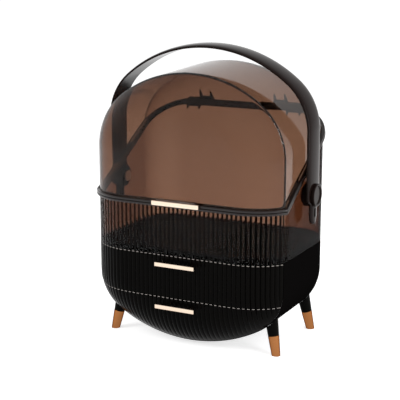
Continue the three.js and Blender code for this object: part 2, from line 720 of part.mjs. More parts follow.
function pivotNodes([name, side]) {
  const bore = (low, high) => rod(pivotPinRadius + pivotPlay, low, high);
  const hub = rod(hubRadius, halfWidth + seat, handleInner - seat).subtract(bore(0, wide));
  const knobLow = handleInner + bandThick + seat;
  const knobHigh = knobLow + knobThick;
  const dishRadius = knobRadius - knobRing;
  const knob = turned([[0, knobLow], [knobRadius, knobLow], [knobRadius, knobHigh - knobEdge],
    [knobRadius - knobEdge, knobHigh], [dishRadius, knobHigh], [dishRadius - knobEdge, knobHigh - knobDish],
    [0, knobHigh - knobDish]]).subtract(bore(0, knobLow + pinSocket + seat));
  const headHigh = halfWidth - clearWall - seat;
  const pinHigh = knobLow + pinSocket;
  const pin = turned([[0, headHigh - pivotHead], [pivotHeadRadius, headHigh - pivotHead],
    [pivotHeadRadius, headHigh], [pivotPinRadius, headHigh], [pivotPinRadius, pinHigh], [0, pinHigh]]);
  return [
    pivotNode('hub', side, name, hub, glossBlack),
    pivotNode('pin', side, name, pin, steel),
    pivotNode('knob', side, name, knob, glossBlack),
  ];
}

const lidGroup = group(lidNodes(), hingeNodes('lid_leaf', lidLeaf(), glossBlack));
const upperDrawer = group(drawerNodes('upper_drawer', fascia(upperFrontBottom, upperFrontTop), upperBin(),
  upperBarZ));
const lowerDrawer = group(drawerNodes('lower_drawer', fascia(0, lowerFrontTop), lowerBin(), lowerBarZ));
const organizer = group(caseNodes(), tubNodes(), hingeNodes('case_leaf', caseLeaf(), glossBlack),
  hingeNodes('pin', hingePin(), steel), sides.map(pivotNodes).flat(), lidGroup, upperDrawer, lowerDrawer,
  node('handle_band', handleBand(), glossBlack));

export default organizer;
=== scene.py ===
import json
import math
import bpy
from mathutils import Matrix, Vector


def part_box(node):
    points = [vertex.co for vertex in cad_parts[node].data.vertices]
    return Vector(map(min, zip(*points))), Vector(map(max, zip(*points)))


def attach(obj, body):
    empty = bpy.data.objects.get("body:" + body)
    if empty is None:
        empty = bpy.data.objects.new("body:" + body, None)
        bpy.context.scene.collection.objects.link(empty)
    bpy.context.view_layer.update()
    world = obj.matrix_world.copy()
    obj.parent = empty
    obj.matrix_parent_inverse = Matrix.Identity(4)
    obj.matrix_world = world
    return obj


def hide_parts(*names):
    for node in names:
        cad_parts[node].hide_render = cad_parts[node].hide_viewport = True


bl_info = {
    "name": "Makeup Organizer",
    "version": (1, 0, 0),
    "blender": (4, 5, 0),
    "location": "View3D > Sidebar > Organizer",
    "description": "Dresses a domed makeup organizer: clear shells, reeded fronts, plated bars",
    "category": "Add Mesh",
}

from collections import namedtuple

import bmesh
import bpy
from bpy.props import FloatProperty, PointerProperty, StringProperty
from mathutils import Matrix, Vector
from mathutils.geometry import interpolate_bezier

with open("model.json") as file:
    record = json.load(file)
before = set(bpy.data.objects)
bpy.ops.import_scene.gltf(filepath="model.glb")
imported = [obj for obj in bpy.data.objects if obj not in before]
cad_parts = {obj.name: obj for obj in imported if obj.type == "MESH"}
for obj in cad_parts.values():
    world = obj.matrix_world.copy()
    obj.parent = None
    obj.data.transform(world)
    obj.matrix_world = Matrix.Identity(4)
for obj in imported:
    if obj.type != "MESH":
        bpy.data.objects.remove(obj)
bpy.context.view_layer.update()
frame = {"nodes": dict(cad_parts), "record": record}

# Body outline, in metres: straight sides, an arch above and a belly below.
MM = 0.001
lid_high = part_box("lid_shell")[1]
HALF_WIDTH = lid_high.x
HALF_DEPTH = lid_high.y
FRONT_Y = -HALF_DEPTH
ARCH_TOP_BACK = lid_high.z
ARCH_TOP_FRONT = ARCH_TOP_BACK - 5.5 * MM
BELLY_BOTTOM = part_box("lower_drawer_front")[0].z
FRONT_ARC = 67.5 * MM
FRONT_FLAT = 83 * MM
BACK_FILLET = 43 * MM
EDGE_INSET = HALF_WIDTH - FRONT_FLAT
EDGE_Y = FRONT_Y + FRONT_ARC - math.sqrt(FRONT_ARC**2 - EDGE_INSET**2)
SHOULDER_Y = HALF_DEPTH - BACK_FILLET
CLEAR_WALL = 3 * MM
CASE_WALL = 3 * MM
SEAT = 0.3 * MM
CASE_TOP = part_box("case_shell")[1].z
FRONT_SEAM = 0.5 * MM
EDGE_ROUND = 1.6 * MM

# Tub, and the seam between tub and lid. SEAM_PULLS say how far its curve is pulled, in Y and Z,
# from its front end and from its back end.
TUB_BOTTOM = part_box("vanity_tub")[0].z
TUB_FLOOR_TOP = 140 * MM
TUB_FLOOR = 3 * MM
SEAM_FRONT = 202 * MM
SEAM_BACK = 312 * MM
SEAM_PULLS = ((57 * MM, 38 * MM), (36.5 * MM, 36 * MM))
RIM_OUT = 4.2 * MM
RIM_HEIGHT = 3.7 * MM
RIM_LIP = 1.5 * MM
RIM_LIP_WALL = 1.6 * MM
SEAL_INSET = 1.2 * MM
SEAL_WIDTH = 2.4 * MM
SEAL_DEPTH = 1.6 * MM

# Reeds: whole ones from the middle to each side edge.
REEDS_PER_SIDE = 23
SIDE_ARC = FRONT_ARC * math.asin(EDGE_INSET / FRONT_ARC)
REED_PITCH = (FRONT_FLAT + SIDE_ARC) / REEDS_PER_SIDE
REED_FADE = 14 * MM
VALLEY_DEPTH = 0.3 * MM
FASCIA_WALL = 3.9 * MM

# Painted glints: a pale colour on the crests of the reeds, along the upper edge of each drawer's
# front, in place of highlights.
GLINT_HEIGHT = 0.7 * MM
GLINT_DEPTH = 0.25 * MM
GLINT_SHARE = 0.05

# Pull bars of the drawers, each on two posts, and the lid's thumb tab, rounded by a share of its
# height.
BAR_DEPTH = 3.4 * MM
POST_X = 21 * MM
POST_RADIUS = 2.7 * MM
TAB_ROUND_SHARE = 0.3

# Handle.
PIVOT = Vector((0, 3 * MM, 211.5 * MM))
HANDLE_INNER = 148.8 * MM
HANDLE_TOP = 402.5 * MM
HANDLE_LEAN = math.radians(1.3)
BAND_HALF = 20 * MM
BAND_THICK = 5 * MM
TAIL_HALF = 10.5 * MM
TAIL_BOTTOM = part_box("handle_band")[0].z
TAIL_END_SHARE = 0.15
TAIL_SHOULDER = 198 * MM
BAND_SHOULDER = 207 * MM
PIVOT_HOLE = 4.25 * MM
TAIL_SLOT_HALF = 2.6 * MM
TAIL_SLOT_LOW = 181 * MM
TAIL_SLOT_HIGH = 194 * MM
TAIL_SLOT_ROUND = 2 * MM
HUB_RADIUS = 16 * MM
KNOB_RADIUS = 15.5 * MM
KNOB_RING = 3.4 * MM
KNOB_DISH = 1.6 * MM
KNOB_EDGE = 1.2 * MM

# Section of the band, in shares of its half width and of its thickness.
INNER_FLAT = 0.97
INNER_EDGE = 0.06
CROWN_EDGE = 0.3
CROWN_POWER = 0.8

# Legs. The solid that cuts their tops to the belly starts in front of the case, at LEG_CUT_START.
LEG_TIP_X = 125.3 * MM
LEG_TIP_Y = {"front": -54.7 * MM, "back": 69 * MM}
LEG_SPLAY_X = 8.4 * MM
LEG_SPLAY_Y = 4.4 * MM
LEG_TOP_RADIUS = 8.6 * MM
LEG_TIP_RADIUS = 5.9 * MM
LEG_CHAMFER = 0.3 * MM
LEG_CUT_START = EDGE_Y - CASE_WALL * 6
SLEEVE_TOP = 26.5 * MM
SLEEVE_WALL = 0.9 * MM
SLEEVE_FLOOR = 3 * MM

# Camera, found from the photograph, whose frame is square. How far it sees and the floor reaches
# are in metres.
CAMERA_AZIMUTH = math.radians(27.13)
CAMERA_ELEVATION = math.radians(12.79)
CAMERA_DISTANCE = 1.565
CAMERA_TARGET = Vector((-17.2 * MM, 0, 187.6 * MM))
FRAME_PIXELS = 400
FOCAL_PIXELS = 1115.8
SENSOR_MM = 36
LENS_REACH = 100
FLOOR_HALF = 20

# How fine the surfaces are. The fronts' rows lie closer towards the belly's outline.
END_STEPS = 20
FRONT_STEPS = 18
FILLET_STEPS = 16
SIDE_STEPS = 16
SEAM_STEPS = 48
REED_STEPS = 8
EDGE_STEPS = 4
CORNER_STEPS = 4
BEVEL_STEPS = 3
CROWN_STEPS = 16
TAIL_STEPS = 8
WALL_ROWS = 9
FASCIA_ROWS = 22
FASCIA_CROWDING = 1.6
ROUND_SIDES = 64
POST_SIDES = 32
SMOOTH_ANGLE = math.radians(28)
WELD = 1e-6

# Solids that cut a piece reach WIDE to each side, and the belly's cutting body reaches up to
# CUT_TOP. SHARP is a rounding too small to be seen.
WIDE = HALF_WIDTH * 1.3
CUT_TOP = CASE_TOP * 1.2
SHARP = 0.01 * MM

# A face looks across an axis where that part of its normal is under ACROSS, along it over ALONG.
ACROSS = 0.5
ALONG = 0.7

# How strongly the plastics refract. Real styrene acrylonitrile has 1.57 and ABS 1.53; the clear
# ones are lower, to mirror and bend as little as the object does. The lid's sides and top hold
# less tint: a painted sheen.
LID_INDEX = 1.25
TUB_INDEX = 1.17
PLAIN_WALL_INDEX = 1.05
TAB_INDEX = 1.5
ABS_INDEX = 1.53
DOME_SIDE_SHARE = 0.6

End = namedtuple("End", "half corner round up")
ARCH = End(HALF_WIDTH, 93 * MM, 171.5 * MM, 1)
BELLY = End(HALF_WIDTH, 68 * MM, 210 * MM, -1)
HANDLE = End(HANDLE_INNER, 80 * MM, 188 * MM, 1)
SIDES = (("left", -1), ("right", 1))


def linear(hex_colour):
    """An sRGB hex colour such as D8A283 as linear red, green, blue and alpha."""
    channels = [int(hex_colour[i : i + 2], 16) / 255 for i in (0, 2, 4)]
    return [c / 12.92 if c <= 0.04045 else ((c + 0.055) / 1.055) ** 2.4 for c in channels] + [1.0]


def length_property(label, words, default):
    return FloatProperty(name=label, description=words, default=default, unit="LENGTH")


def density_property(label, plastic, default):
    words = f"How fast {plastic} darkens what is seen through it, per metre"
    return FloatProperty(name=label, description=words, default=default)


def hex_property(label, words, default):
    return StringProperty(
        name=label, description=f"{words}, as sRGB hex", default=default, maxlen=6
    )


class OrganizerSettings(bpy.types.PropertyGroup):
    """Sizes and colours that a user of the organizer would change."""

    reed_depth: length_property("Reed depth", "Depth of the valleys between the reeds", 1.3 * MM)
    rim_round: length_property("Rim rounding", "Radius of the black rims' edges", 1.2 * MM)
    bar_round: length_property("Bar rounding", "Radius of the plated bars' edges", 0.8 * MM)
    smoke_density: density_property("Smoke density", "the lid's clear plastic", 560.0)
    tub_density: density_property("Tub density", "the tub's clear plastic", 540.0)
    tab_density: density_property("Tab density", "the almost untinted thumb tab", 60.0)
    smoke_colour: hex_property("Smoke colour", "What the clear plastic lets through", "AE7C35")
    black_colour: hex_property("Black colour", "Gloss black of the case and hinges", "0B0A0A")
    handle_colour: hex_property("Handle colour", "Brown black of the handle and rims", "1A110F")
    front_colour: hex_property("Front colour", "Dark smoke of drawer fronts and legs", "080706")
    plated_colour: hex_property("Plated colour", "Rose gold of the bars", "DFCCB8")
    # The sleeves' colour is the bars' rose gold painted darker: painted shade.
    sleeve_shaded_colour: hex_property("Sleeve colour", "Copper gold of the leg sleeves", "96623A")
    floor_colour: hex_property("Floor colour", "Floor under the organizer", "E8E8E8")


def settings():
    return bpy.context.scene.organizer


# Outlines

def end_centres(end, tip_z):
    """The corner arc's centre (x, z), the wide arc's centre z, and the angle where they meet."""
    corner_x = end.half - end.corner
    rise = math.sqrt((end.round - end.corner) ** 2 - corner_x**2)
    round_z = tip_z - end.up * end.round
    return corner_x, round_z + end.up * rise, round_z, math.atan2(rise, corner_x)


def end_points(end, tip_z, inset, from_z):
    """Half of an outline's end, from height from_z on the right side round to its middle."""
    corner_x, corner_z, round_z, turn = end_centres(end, tip_z)
    radius = end.corner - inset
    past = end.up * (from_z - corner_z)
    start = min(math.asin(min(past / radius, 1)), turn) if past > 0 else 0
    points = [(corner_x + radius * math.cos(start), from_z)]
    for i in range(END_STEPS + 1):
        angle = start + (turn - start) * i / END_STEPS
        rise = end.up * radius * math.sin(angle)
        points.append((corner_x + radius * math.cos(angle), corner_z + rise))
    radius = end.round - inset
    for i in range(1, END_STEPS + 1):
        angle = turn + (math.pi / 2 - turn) * i / END_STEPS
        points.append((radius * math.cos(angle), round_z + end.up * radius * math.sin(angle)))
    return points


def both_halves(points, y):
    """A ring across the organizer from its right half, running right to left."""
    right = [Vector((x, y, z)) for x, z in points]
    return right + mirrored(right[:-1])


def mirrored(points):
    """The same points on the other side, in reverse order."""
    return [Vector((-p.x, p.y, p.z)) for p in reversed(points)]


def arch_tip(y):
    along = (y - EDGE_Y) / (SHOULDER_Y - EDGE_Y)
    return ARCH_TOP_FRONT + (ARCH_TOP_BACK - ARCH_TOP_FRONT) * along


def arch_half_width(y, z, inset):
    """Half the width of the arch at height z, where its outline is inset at y."""
    corner_x, corner_z, _, _ = end_centres(ARCH, arch_tip(y))
    if z <= corner_z:
        return HALF_WIDTH - inset
    return corner_x + math.sqrt(max((ARCH.corner - inset) ** 2 - (z - corner_z) ** 2, 0))


def belly_bottom_at(x):
    """Height of the belly's outline at x."""
    corner_x, corner_z, round_z, turn = end_centres(BELLY, BELLY_BOTTOM)
    side = min(abs(x), HALF_WIDTH)
    if side < corner_x + BELLY.corner * math.cos(turn):
        return round_z - math.sqrt(BELLY.round**2 - side**2)
    return corner_z - math.sqrt(max(BELLY.corner**2 - (side - corner_x) ** 2, 0))


def inside_belly(x, z):
    """How far a place on the front lies inside the belly's outline."""
    corner_x, corner_z, round_z, turn = end_centres(BELLY, BELLY_BOTTOM)
    side = abs(x)
    if z >= corner_z:
        return HALF_WIDTH - side
    if math.atan2(round_z - z, side) > turn:
        return BELLY.round - math.hypot(side, z - round_z)
    return BELLY.corner - math.hypot(side - corner_x, z - corner_z)


def front_face_y(x, z, skin=0):
    """The front face's Y at a place on it, a skin's thickness in."""
    arc = FRONT_ARC - skin
    reach = min(max(EDGE_INSET - inside_belly(x, z), 0), arc)
    return FRONT_Y + FRONT_ARC - math.sqrt(arc**2 - reach**2)


def front_stations(skin):
    """Places (y, inset) over the round of the front face, a skin's thickness in."""
    arc = FRONT_ARC - skin
    turn = math.asin((EDGE_INSET - skin) / arc)
    face_y = FRONT_Y + skin
    angles = [turn * i / FRONT_STEPS for i in range(FRONT_STEPS + 1)]
    return [(face_y + arc * (1 - math.cos(a)), EDGE_INSET - arc * math.sin(a)) for a in angles]


def back_stations(skin):
    """The same places over the round of the back's corner."""
    arc = BACK_FILLET - skin
    angles = [math.pi / 2 * i / FILLET_STEPS for i in range(FILLET_STEPS + 1)]
    return [(SHOULDER_Y + arc * math.sin(a), BACK_FILLET - arc * math.cos(a)) for a in angles]


def side_stations(skin, start_y):
    """The same places between the front and the back's corner, without either end."""
    depth = SHOULDER_Y - start_y
    return [(start_y + depth * i / SIDE_STEPS, skin) for i in range(1, SIDE_STEPS)]


def seam_points():
    """The seam between tub and lid from the side, as (y, z): a climb that steepens to the back."""
    (front_y, front_z), (back_y, back_z) = SEAM_PULLS
    pulls = (
        (EDGE_Y, SEAM_FRONT),
        (EDGE_Y + front_y, SEAM_FRONT + front_z),
        (HALF_DEPTH - back_y, SEAM_BACK - back_z),
        (HALF_DEPTH, SEAM_BACK),
    )
    curve = interpolate_bezier(*(Vector(pull) for pull in pulls), SEAM_STEPS)
    return [(p.x, p.y) for p in curve]


SEAM = seam_points()


def seam_z(y, skin=0):
    """Height of the seam at y, a skin's thickness in: level in front and along the back."""
    if y > SHOULDER_Y:
        y = SHOULDER_Y + (y - SHOULDER_Y) * BACK_FILLET / (BACK_FILLET - skin)
    for (low_y, low_z), (high_y, high_z) in zip(SEAM, SEAM[1:]):
        if y <= high_y:
            return low_z + (high_z - low_z) * max(y - low_y, 0) / (high_y - low_y)
    return SEAM_BACK


def reed_columns():
    """Distances along the front and depths of the reeds: round crests, narrow valleys."""
    deepest = settings().reed_depth
    columns = []
    for reed in range(-REEDS_PER_SIDE, REEDS_PER_SIDE):
        for i in range(REED_STEPS):
            share = i / REED_STEPS
            crest = math.sqrt(1 - (2 * share - 1) ** 2)
            columns.append(((reed + share) * REED_PITCH, deepest * (1 - crest)))
    columns.append((REEDS_PER_SIDE * REED_PITCH, deepest))
    return columns


def plan_place(along, depth):
    """Place (x, y) at a distance along the front from its middle, a depth below its surface."""
    past = abs(along) - FRONT_FLAT
    if past <= 0:
        return along, FRONT_Y + depth
    angle = past / FRONT_ARC
    arc = FRONT_ARC - depth
    side = math.copysign(FRONT_FLAT + arc * math.sin(angle), along)
    return side, FRONT_Y + FRONT_ARC - arc * math.cos(angle)


# Meshes

def ring_faces(bm, low, high, closed):
    """Faces between two rings, or between two open rows of points."""
    count = len(low)
    for i in range(count if closed else count - 1):
        j = (i + 1) % count
        bm.faces.new((low[i], low[j], high[j], high[i]))


def loft(rings, caps=True):
    """A skin over closed rings of equally many points, with flat ends where caps is true."""
    bm = bmesh.new()
    loops = [[bm.verts.new(point) for point in ring] for ring in rings]
    for low, high in zip(loops, loops[1:]):
        ring_faces(bm, low, high, True)
    if caps:
        bm.faces.new(loops[0])
        bm.faces.new(loops[-1])
    return tidy(bm)


def shell(outer, inner, front_open):
    """A wall between two skins of open rings: closed at the back, and open or closed in front."""
    bm = bmesh.new()
    skins = []
    for rings in (outer, inner):
        loops = [[bm.verts.new(point) for point in ring] for ring in rings]
        for low, high in zip(loops, loops[1:]):
            ring_faces(bm, low, high, False)
        bm.faces.new(loops[-1])
        if not front_open:
            bm.faces.new(loops[0])
        skins.append(loops)
    out, into = skins
    for i in range(len(out) - 1):
        for end in (0, -1):
            bm.faces.new((out[i][end], out[i + 1][end], into[i + 1][end], into[i][end]))
    bm.faces.new((out[-1][0], out[-1][-1], into[-1][-1], into[-1][0]))
    if front_open:
        ring_faces(bm, out[0], into[0], False)
    else:
        bm.faces.new((out[0][0], out[0][-1], into[0][-1], into[0][0]))
    return tidy(bm)


def tidy(bm):
    """Welds the points that meet, drops empty faces and turns all faces outwards."""
    bmesh.ops.remove_doubles(bm, verts=bm.verts, dist=WELD)
    bmesh.ops.dissolve_degenerate(bm, edges=bm.edges, dist=WELD)
    bmesh.ops.recalc_face_normals(bm, faces=bm.faces)
    return bm


def turned(profile, sides=ROUND_SIDES):
    """A solid turned about Z from (radius, height) points that start and end on the axis."""
    rings = []
    for radius, z in profile:
        angles = [2 * math.pi * i / sides for i in range(sides)]
        rings.append([Vector((radius * math.cos(a), radius * math.sin(a), z)) for a in angles])
    return loft(rings, caps=False)


def rounded_corner(x, z, radius, start, stop):
    """Points of an arc about (x, z), between two angles that are given in quarter turns."""
    shares = [i / CORNER_STEPS for i in range(CORNER_STEPS + 1)]
    angles = [math.pi / 2 * (start + (stop - start) * share) for share in shares]
    return [(x + radius * math.cos(a), z + radius * math.sin(a)) for a in angles]


def placed(bm, matrix):
    bmesh.ops.transform(bm, matrix=matrix, verts=bm.verts)
    return bm


def rounded_box(low, high, radius):
    bm = bmesh.new()
    bmesh.ops.create_cube(bm, size=1)
    size = Vector(high) - Vector(low)
    middle = (Vector(high) + Vector(low)) / 2
    placed(bm, Matrix.Translation(middle) @ Matrix.Diagonal((*size, 1)))
    bmesh.ops.bevel(
        bm,
        geom=bm.edges[:],
        offset=radius,
        offset_type="OFFSET",
        segments=BEVEL_STEPS,
        profile=0.5,
        affect="EDGES",
    )
    return tidy(bm)


def along_y(bm, x, z):
    """Turns a solid about Z into one about the line along Y through (x, z)."""
    return placed(bm, Matrix.Translation((x, 0, z)) @ Matrix.Rotation(-math.pi / 2, 4, "X"))


def along_x(bm, side):
    """Turns a solid about Z into one about the pivots' axis, on the left (-1) or the right (1)."""
    return placed(bm, Matrix.Translation(PIVOT) @ Matrix.Rotation(side * math.pi / 2, 4, "Y"))


def pivot_bore():
    """A rod through both pivots, for cutting their bores."""
    rod = turned([(0, -WIDE), (PIVOT_HOLE, -WIDE), (PIVOT_HOLE, WIDE), (0, WIDE)])
    return along_x(rod, 1)


def mesh_object(name, bm):
    mesh = bpy.data.meshes.new(name)
    bm.to_mesh(mesh)
    bm.free()
    piece = bpy.data.objects.new(name, mesh)
    bpy.context.scene.collection.objects.link(piece)
    return piece


def carve(piece, bm, operation="DIFFERENCE"):
    """Cuts, joins or trims a piece with another solid, and keeps only the result."""
    tool = mesh_object("carving_tool", bm)
    modifier = piece.modifiers.new("carve", "BOOLEAN")
    modifier.object = tool
    modifier.operation = operation
    modifier.solver = "EXACT"
    graph = bpy.context.evaluated_depsgraph_get()
    carved = bpy.data.meshes.new_from_object(piece.evaluated_get(graph))
    piece.modifiers.remove(modifier)
    old = piece.data
    piece.data = carved
    bpy.data.meshes.remove(old)
    bpy.data.objects.remove(tool)
    if not carved.polygons:
        raise RuntimeError(f"nothing is left of {piece.name} after carving")
    return piece


def smooth_by_angle(mesh):
    bm = bmesh.new()
    bm.from_mesh(mesh)
    for face in bm.faces:
        face.smooth = True
    for edge in bm.edges:
        edge.smooth = edge.calc_face_angle(0) < SMOOTH_ANGLE
    bm.to_mesh(mesh)
    bm.free()


def dress(piece, finish, body, slot, *nodes):
    """Finishes a piece's surface and says which body it rides on and which nodes it stands for."""
    smooth_by_angle(piece.data)
    piece.data.materials.clear()
    piece.data.materials.append(finish())
    weighted = piece.modifiers.new("weighted_normals", "WEIGHTED_NORMAL")
    weighted.keep_sharp = True
    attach(piece, body)
    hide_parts(*nodes)
    return piece


def add_finish(piece, finish, chosen):
    """Gives the faces of a piece that chosen(face) picks a finish of their own."""
    index = len(piece.data.materials)
    piece.data.materials.append(finish())
    for face in piece.data.polygons:
        if chosen(face):
            face.material_index = index


# Materials

def add_node(tree, kind, choices=None, inputs=None):
    """Adds a node; a socket among the inputs is linked, and any other value is set."""
    node = tree.nodes.new(kind)
    for name, value in (choices or {}).items():
        setattr(node, name, value)
    for name, value in (inputs or {}).items():
        if isinstance(value, bpy.types.NodeSocket):
            tree.links.new(value, node.inputs[name])
        else:
            node.inputs[name].default_value = value
    return node


def surface_material(name, build, **look):
    """A material made once by build(tree, **look), which returns its shader and volume or None."""
    known = bpy.data.materials.get(name)
    if known:
        return known
    material = bpy.data.materials.new(name)
    material.use_nodes = True
    tree = material.node_tree
    tree.nodes.clear()
    shader, volume = build(tree, **look)
    output = add_node(tree, "ShaderNodeOutputMaterial", inputs={"Surface": shader.outputs[0]})
    if volume:
        tree.links.new(volume.outputs[0], output.inputs["Volume"])
    return material


def millimetre_noise(tree, spacing_mm, detail=2.0, stretch=(1, 1, 1)):
    """Noise whose features are spacing_mm apart; stretch draws it out along an axis."""
    place = add_node(tree, "ShaderNodeTexCoord")
    mapping = add_node(
        tree, "ShaderNodeMapping", inputs={"Vector": place.outputs["Object"], "Scale": stretch}
    )
    return add_node(
        tree,
        "ShaderNodeTexNoise",
        inputs={"Vector": mapping.outputs[0], "Scale": 1 / (spacing_mm * MM), "Detail": detail},
    )


def spread(tree, value, low, high):
    """Carries a value between 0 and 1 over to the span from low to high."""
    return add_node(
        tree, "ShaderNodeMapRange", inputs={"Value": value, "To Min": low, "To Max": high}
    )


def clear_plastic(tree, density, index, surface_colour="FFFFFF"):
    # Flow waves from the mould, about 30 mm apart, bend what is seen through the wall a little.
    waves = millimetre_noise(tree, 30)
    bump = add_node(
        tree,
        "ShaderNodeBump",
        inputs={"Height": waves.outputs[0], "Strength": 0.12, "Distance": 0.4 * MM},
    )
    plastic = add_node(
        tree,
        "ShaderNodeBsdfPrincipled",
        inputs={
            "Base Color": linear(surface_colour),
            "Roughness": 0.02,
            "IOR": index,
            "Transmission Weight": 1,
            "Normal": bump.outputs[0],
        },
    )
    tint = add_node(
        tree,
        "ShaderNodeVolumeAbsorption",
        inputs={"Color": linear(settings().smoke_colour), "Density": density},
    )
    return plastic, tint


def smoke_clear():
    """Tinted styrene acrylonitrile, injection moulded: clear brown, darker along a longer path."""
    return surface_material(
        "moulded_smoke_styrene",
        clear_plastic,
        density=settings().smoke_density,
        index=LID_INDEX,
    )


def dome_sheen_clear():
    """The lid's plastic on its sides and top, with less tint, so it looks lighter there: a painted
    sheen.
    """
    return surface_material(
        "painted_sheen_smoke_styrene",
        clear_plastic,
        density=settings().smoke_density * DOME_SIDE_SHARE,
        index=LID_INDEX,
    )


def tub_clear():
    """The tub's styrene acrylonitrile, injection moulded, which refracts less than the lid's."""
    return surface_material(
        "moulded_dark_smoke_styrene",
        clear_plastic,
        density=settings().tub_density,
        index=TUB_INDEX,
    )


def valley_shade_clear():
    """The tub's plastic in the valleys between reeds, with a dark surface colour: painted shade in
    the recesses.
    """
    return surface_material(
        "painted_shade_smoke_valleys",
        clear_plastic,
        density=settings().tub_density,
        index=TUB_INDEX,
        # Painted shade: a dark colour that darkens the valleys.
        surface_colour="2E2622",
    )


def plain_wall_clear():
    """The tub's plastic on its plain walls and floor, polished less, so it mirrors little."""
    return surface_material(
        "moulded_dark_smoke_walls",
        clear_plastic,
        density=settings().tub_density,
        index=PLAIN_WALL_INDEX,
    )


def tab_clear():
    """The thumb tab's styrene acrylonitrile, injection moulded almost without tint."""
    return surface_material(
        "moulded_clear_styrene",
        clear_plastic,
        density=settings().tab_density,
        index=TAB_INDEX,
    )


def glossy_plastic(tree, colour, roughness, specular, wave_mm):
    # Handling smears, about 14 mm apart, vary the gloss, and flow waves bend the reflections.
    smears = millimetre_noise(tree, 14, detail=6)
    waves = millimetre_noise(tree, wave_mm)
    bump = add_node(
        tree,
        "ShaderNodeBump",
        inputs={"Height": waves.outputs[0], "Strength": 0.1, "Distance": 0.3 * MM},
    )
    rough = spread(tree, smears.outputs[0], roughness * 0.7, roughness * 1.5)
    plastic = add_node(
        tree,
        "ShaderNodeBsdfPrincipled",
        inputs={
            "Base Color": linear(colour),
            "Roughness": rough.outputs[0],
            "IOR": ABS_INDEX,
            "Specular IOR Level": specular,
            "Normal": bump.outputs[0],
        },
    )
    return plastic, None


def gloss_black():
    """Gloss black ABS, injection moulded: deep black, soft-edged reflections and faint smears."""
    return surface_material(
        "moulded_gloss_black_abs",
        glossy_plastic,
        colour=settings().black_colour,
        roughness=0.1,
        specular=0.0,
        wave_mm=35,
    )


def handle_black():
    """The same ABS on the handle, polished in the mould, so it mirrors the lamps more."""
    return surface_material(
        "polished_black_abs",
        glossy_plastic,
        colour=settings().handle_colour,
        roughness=0.12,
        specular=0.05,
        wave_mm=45,
    )


def rim_black():
    """The same ABS on the rims, glossier still, so their rounded edges show as bright lines."""
    return surface_material(
        "bright_polished_black_abs",
        glossy_plastic,
        colour=settings().handle_colour,
        roughness=0.1,
        specular=0.3,
        wave_mm=45,
    )


def painted_edge_glint():
    """Painted glint: a pale colour on the reeds' upper edge, standing in for the highlights that
    catch there.
    """
    return surface_material(
        "painted_glint_edge",
        glossy_plastic,
        colour="B0A8A2",
        roughness=0.3,
        specular=0.5,
        wave_mm=30,
    )


def front_black():
    """Dark smoke ABS of the drawer fronts and legs: black with a breath of brown in it."""
    return surface_material(
        "moulded_dark_smoke_abs",
        glossy_plastic,
        colour=settings().front_colour,
        roughness=0.12,
        specular=0.02,
        wave_mm=30,
    )


def plated_metal(tree, colour, edge_tint):
    # The plating is a little cloudy, in patches about 6 mm apart.
    cloud = millimetre_noise(tree, 6, detail=5)
    rough = spread(tree, cloud.outputs[0], 0.12, 0.24)
    # Polishing marks run along the piece; the real ones are finer than these, 0.8 mm apart.
    marks = millimetre_noise(tree, 0.8, detail=3, stretch=(0.08, 1, 1))
    bump = add_node(
        tree,
        "ShaderNodeBump",
        inputs={"Height": marks.outputs[0], "Strength": 0.08, "Distance": 0.05 * MM},
    )
    metal = add_node(
        tree,
        "ShaderNodeBsdfPrincipled",
        inputs={
            "Base Color": linear(colour),
            "Metallic": 1,
            "Roughness": rough.outputs[0],
            "Specular Tint": linear(edge_tint),
            "Normal": bump.outputs[0],
        },
    )
    return metal, None


def rose_gold():
    """Vacuum-plated rose gold over polished plastic: a pale pink mirror, slightly clouded."""
    return surface_material(
        "plated_rose_gold",
        plated_metal,
        colour=settings().plated_colour,
        edge_tint="E0C0B0",
    )


def sleeve_shaded_gold():
    """The same plating on the leg sleeves, painted darker and redder, and darker still where it is
    seen edge on: painted shade.
    """
    return surface_material(
        "plated_gold_painted_shade",
        plated_metal,
        colour=settings().sleeve_shaded_colour,
        # A dark edge tint: painted shade along the sleeves' edges.
        edge_tint="4A2C18",
    )


def seal_rubber():
    """Extruded silicone seal: dull black, with a fine grain."""

    def build(tree):
        grain = millimetre_noise(tree, 0.6, detail=4)
        bump = add_node(
            tree,
            "ShaderNodeBump",
            inputs={"Height": grain.outputs[0], "Strength": 0.3, "Distance": 0.05 * MM},
        )
        rubber = add_node(
            tree,
            "ShaderNodeBsdfPrincipled",
            inputs={"Base Color": linear("2B2725"), "Roughness": 0.7, "Normal": bump.outputs[0]},
        )
        return rubber, None

    return surface_material("extruded_silicone", build)


def screw_steel():
    """Zinc-plated steel of the screws and pins: grey, with a turned grain."""

    def build(tree):
        grain = millimetre_noise(tree, 0.5, detail=4)
        rough = spread(tree, grain.outputs[0], 0.22, 0.4)
        steel = add_node(
            tree,
            "ShaderNodeBsdfPrincipled",
            inputs={"Base Color": linear("B9BABD"), "Metallic": 1, "Roughness": rough.outputs[0]},
        )
        return steel, None

    return surface_material("zinc_plated_steel", build)


def seen_strength(tree, unseen, seen):
    """A strength for what is seen, mirrored or looked at through plastic, and one for the rest."""
    path = add_node(tree, "ShaderNodeLightPath")
    looked = path.outputs["Is Camera Ray"]
    for ray in ("Is Glossy Ray", "Is Transmission Ray"):
        inputs = {0: looked, 1: path.outputs[ray]}
        looked = add_node(tree, "ShaderNodeMath", {"operation": "MAXIMUM"}, inputs).outputs[0]
    return spread(tree, looked, unseen, seen)


def floor_paint():
    """Matt white studio floor, which keeps a soft shadow of the organizer."""

    def build(tree):
        # The floor shows brighter than the lamps make it, and throws no more light for that.
        glow = seen_strength(tree, unseen=0, seen=0.7)
        light = add_node(tree, "ShaderNodeEmission", inputs={"Strength": glow.outputs[0]})
        colour = linear(settings().floor_colour)
        paint = add_node(tree, "ShaderNodeBsdfDiffuse", inputs={"Color": colour})
        shaders = {0: light.outputs[0], 1: paint.outputs[0]}
        return add_node(tree, "ShaderNodeAddShader", inputs=shaders), None

    return surface_material("studio_floor", build)


# Pieces

